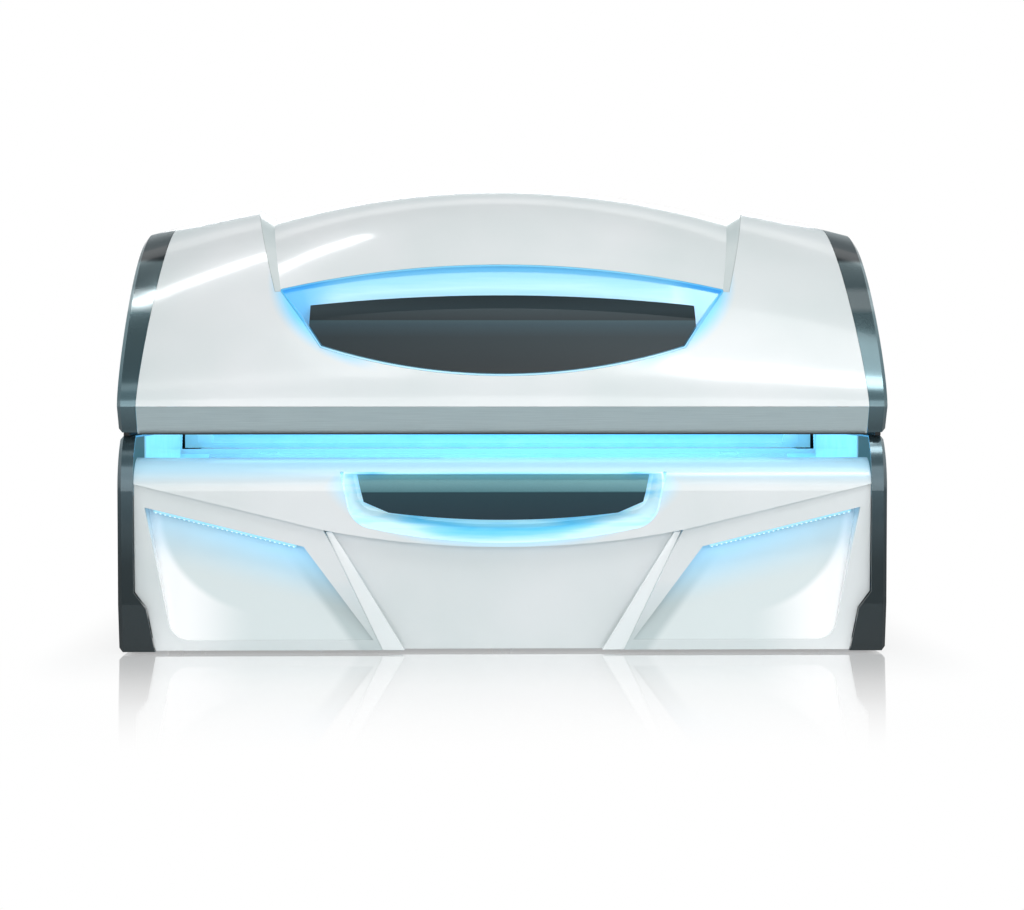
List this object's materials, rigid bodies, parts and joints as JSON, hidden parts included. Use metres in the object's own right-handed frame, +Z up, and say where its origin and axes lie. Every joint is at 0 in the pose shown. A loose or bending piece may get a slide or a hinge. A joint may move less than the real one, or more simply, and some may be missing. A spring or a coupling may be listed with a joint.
{
  "type": "tanning bed",
  "caption": "Clamshell tanning bed: a bench with a sagging clear lying sheet over tubes, closed by a hinged curved canopy with a glowing recess.",
  "frame": {"origin": "on the floor under the middle of the bed's overall box", "axes": "+X along the bed, away from the head end; +Y from the front to the hinge at the rear; +Z up"},
  "size_m": [2.31, 1.36, 1.4509],
  "materials": {
    "white_shell": "gloss white moulded plastic",
    "dark_cap": "gloss anthracite lacquered plastic",
    "dark_plate": "gloss dark petrol plastic",
    "glow_band": "translucent plastic lit from behind",
    "glow_dish": "translucent plastic lit from behind",
    "rail_grey": "satin grey profile",
    "clear_acrylic": "clear acrylic with a blue cast",
    "tube_glass": "white phosphor coated tube",
    "reflector": "bright rolled sheet",
    "holder_white": "moulded white plastic",
    "frame_grey": "grey powder coat",
    "sheet_grey": "light grey powder coat",
    "strut_black": "black enamelled cylinder",
    "strut_chrome": "polished rod",
    "foot_rubber": "black rubber foot",
    "electric_grey": "grey sheet steel box",
    "fan_black": "black glass-filled plastic",
    "gland_black": "black nylon",
    "filter_glass": "blue face filter glass",
    "filter_frame": "brushed frame",
    "face_lamp": "quartz burner",
    "led_strip": "light strip",
    "pod_dark": "fine textured dark plastic",
    "button_white": "gloss key",
    "nozzle_grey": "satin grey roller"
  },
  "bodies": {
    "bench": {"bench_frame": "frame_grey", "levelling_feet": "foot_rubber", "bench_floor_pan": "sheet_grey", "bench_end_cap_left": "dark_cap", "bench_end_cap_right": "dark_cap", "bench_front_trim": "white_shell", "bench_light_dish": "glow_dish", "bench_badge_panel": "dark_plate", "bench_wing_panel_left": "white_shell", "bench_wing_panel_right": "white_shell", "wing_light_strips": "led_strip", "bench_middle_cover": "white_shell", "bench_rear_deck": "sheet_grey", "bench_rear_cover": "sheet_grey", "mains_gland": "gland_black", "bench_end_covers": "dark_cap", "bench_reflector": "reflector", "bench_lamps": "tube_glass", "bench_lampholders": "holder_white", "bench_acrylic_lugs": "frame_grey", "hinge_brackets": "frame_grey", "ballasts": "electric_grey", "power_unit": "electric_grey", "bench_fan_housings": "fan_black"},
    "canopy": {"canopy_front_shell": "white_shell", "canopy_rear_shell": "white_shell", "canopy_crown_panel": "white_shell", "canopy_recess_frame": "glow_band", "canopy_light_band": "glow_band", "canopy_badge_panel": "dark_plate", "canopy_front_rail": "rail_grey", "canopy_end_cap_left": "dark_cap", "canopy_end_cap_right": "dark_cap", "canopy_end_liners": "dark_cap", "canopy_acrylic": "clear_acrylic", "canopy_reflector": "reflector", "canopy_lamps": "tube_glass", "canopy_lampholders": "holder_white", "canopy_frame": "frame_grey", "canopy_hinge_cranks": "frame_grey", "canopy_fan_housing": "fan_black", "face_lamp_housing": "sheet_grey", "face_lamps": "face_lamp", "face_reflectors": "reflector", "control_pod": "pod_dark"},
    "lying_sheet": {"bench_acrylic": "clear_acrylic"},
    "strut_tube_left": {"strut_tube_left": "strut_black"},
    "strut_tube_right": {"strut_tube_right": "strut_black"},
    "strut_rod_left": {"strut_rod_left": "strut_chrome"},
    "strut_rod_right": {"strut_rod_right": "strut_chrome"},
    "face_filter": {"face_filter_frame": "filter_frame", "face_filter_glass": "filter_glass"},
    "button_start": {"button_start": "button_white"},
    "button_fan": {"button_fan": "button_white"},
    "button_face": {"button_face": "button_white"},
    "air_nozzle_left": {"air_nozzle_left": "nozzle_grey"},
    "air_nozzle_right": {"air_nozzle_right": "nozzle_grey"},
    "bench_fan_left": {"bench_fan_impeller_left": "fan_black"},
    "bench_fan_right": {"bench_fan_impeller_right": "fan_black"},
    "canopy_fan": {"canopy_fan_impeller": "fan_black"}
  },
  "joints": [
    {"name": "canopy_hinge", "type": "hinge", "parent": "bench", "child": "canopy", "pos_m": [0, 0.54, 0.69], "axis": [-1, 0, 0], "range_deg": [0, 38], "stiffness_Nm_per_rad": 614, "springref_deg": 72.06},
    {"name": "strut_left_tilt", "type": "hinge", "parent": "bench", "child": "strut_tube_left", "pos_m": [-1.11, 0.3, 0.2], "axis": [-1, 0, 0], "range_deg": [0, 4]},
    {"name": "strut_left_slide", "type": "slide", "parent": "strut_tube_left", "child": "strut_rod_left", "axis": [0, 0.1996, 0.9799], "range_m": [0, 0.082]},
    {"name": "strut_right_tilt", "type": "hinge", "parent": "bench", "child": "strut_tube_right", "pos_m": [1.11, 0.3, 0.2], "axis": [-1, 0, 0], "range_deg": [0, 4]},
    {"name": "strut_right_slide", "type": "slide", "parent": "strut_tube_right", "child": "strut_rod_right", "axis": [0, 0.1996, 0.9799], "range_m": [0, 0.082]},
    {"name": "lying_sheet_hinge", "type": "hinge", "parent": "bench", "child": "lying_sheet", "pos_m": [0, 0.35204, 0.56978], "axis": [-1, 0, 0], "range_deg": [0, 18]},
    {"name": "face_filter_hinge", "type": "hinge", "parent": "canopy", "child": "face_filter", "pos_m": [0, 0.102, 0.956], "axis": [1, 0, 0], "range_deg": [0, 75]},
    {"name": "button_start_press", "type": "slide", "parent": "canopy", "child": "button_start", "axis": [0, 0, 1], "range_m": [0, 0.0015], "stiffness_N_per_m": 600},
    {"name": "button_fan_press", "type": "slide", "parent": "canopy", "child": "button_fan", "axis": [0, 0, 1], "range_m": [0, 0.0015], "stiffness_N_per_m": 600},
    {"name": "button_face_press", "type": "slide", "parent": "canopy", "child": "button_face", "axis": [0, 0, 1], "range_m": [0, 0.0015], "stiffness_N_per_m": 600},
    {"name": "air_nozzle_left_turn", "type": "hinge", "parent": "canopy", "child": "air_nozzle_left", "pos_m": [-0.378, -0.1, 0.95333], "axis": [1, 0, 0], "range_deg": [-25, 25]},
    {"name": "air_nozzle_right_turn", "type": "hinge", "parent": "canopy", "child": "air_nozzle_right", "pos_m": [-0.262, -0.1, 0.95333], "axis": [1, 0, 0], "range_deg": [-25, 25]},
    {"name": "bench_fan_left_spin", "type": "hinge", "parent": "bench", "child": "bench_fan_left", "pos_m": [-0.5, 0, 0.12], "axis": [0, 0, 1], "continuous": true},
    {"name": "bench_fan_right_spin", "type": "hinge", "parent": "bench", "child": "bench_fan_right", "pos_m": [0.5, 0, 0.12], "axis": [0, 0, 1], "continuous": true},
    {"name": "canopy_fan_spin", "type": "hinge", "parent": "canopy", "child": "canopy_fan", "pos_m": [0, -0.07, 1.09], "axis": [0, 0, 1], "continuous": true}
  ],
  "couplings": [
    {"joint": "strut_left_tilt", "follows": "canopy_hinge", "ratio": 0.1035},
    {"joint": "strut_left_slide", "follows": "canopy_hinge", "m_per_rad": 0.1224},
    {"joint": "strut_right_tilt", "follows": "canopy_hinge", "ratio": 0.1035},
    {"joint": "strut_right_slide", "follows": "canopy_hinge", "m_per_rad": 0.1224}
  ]
}
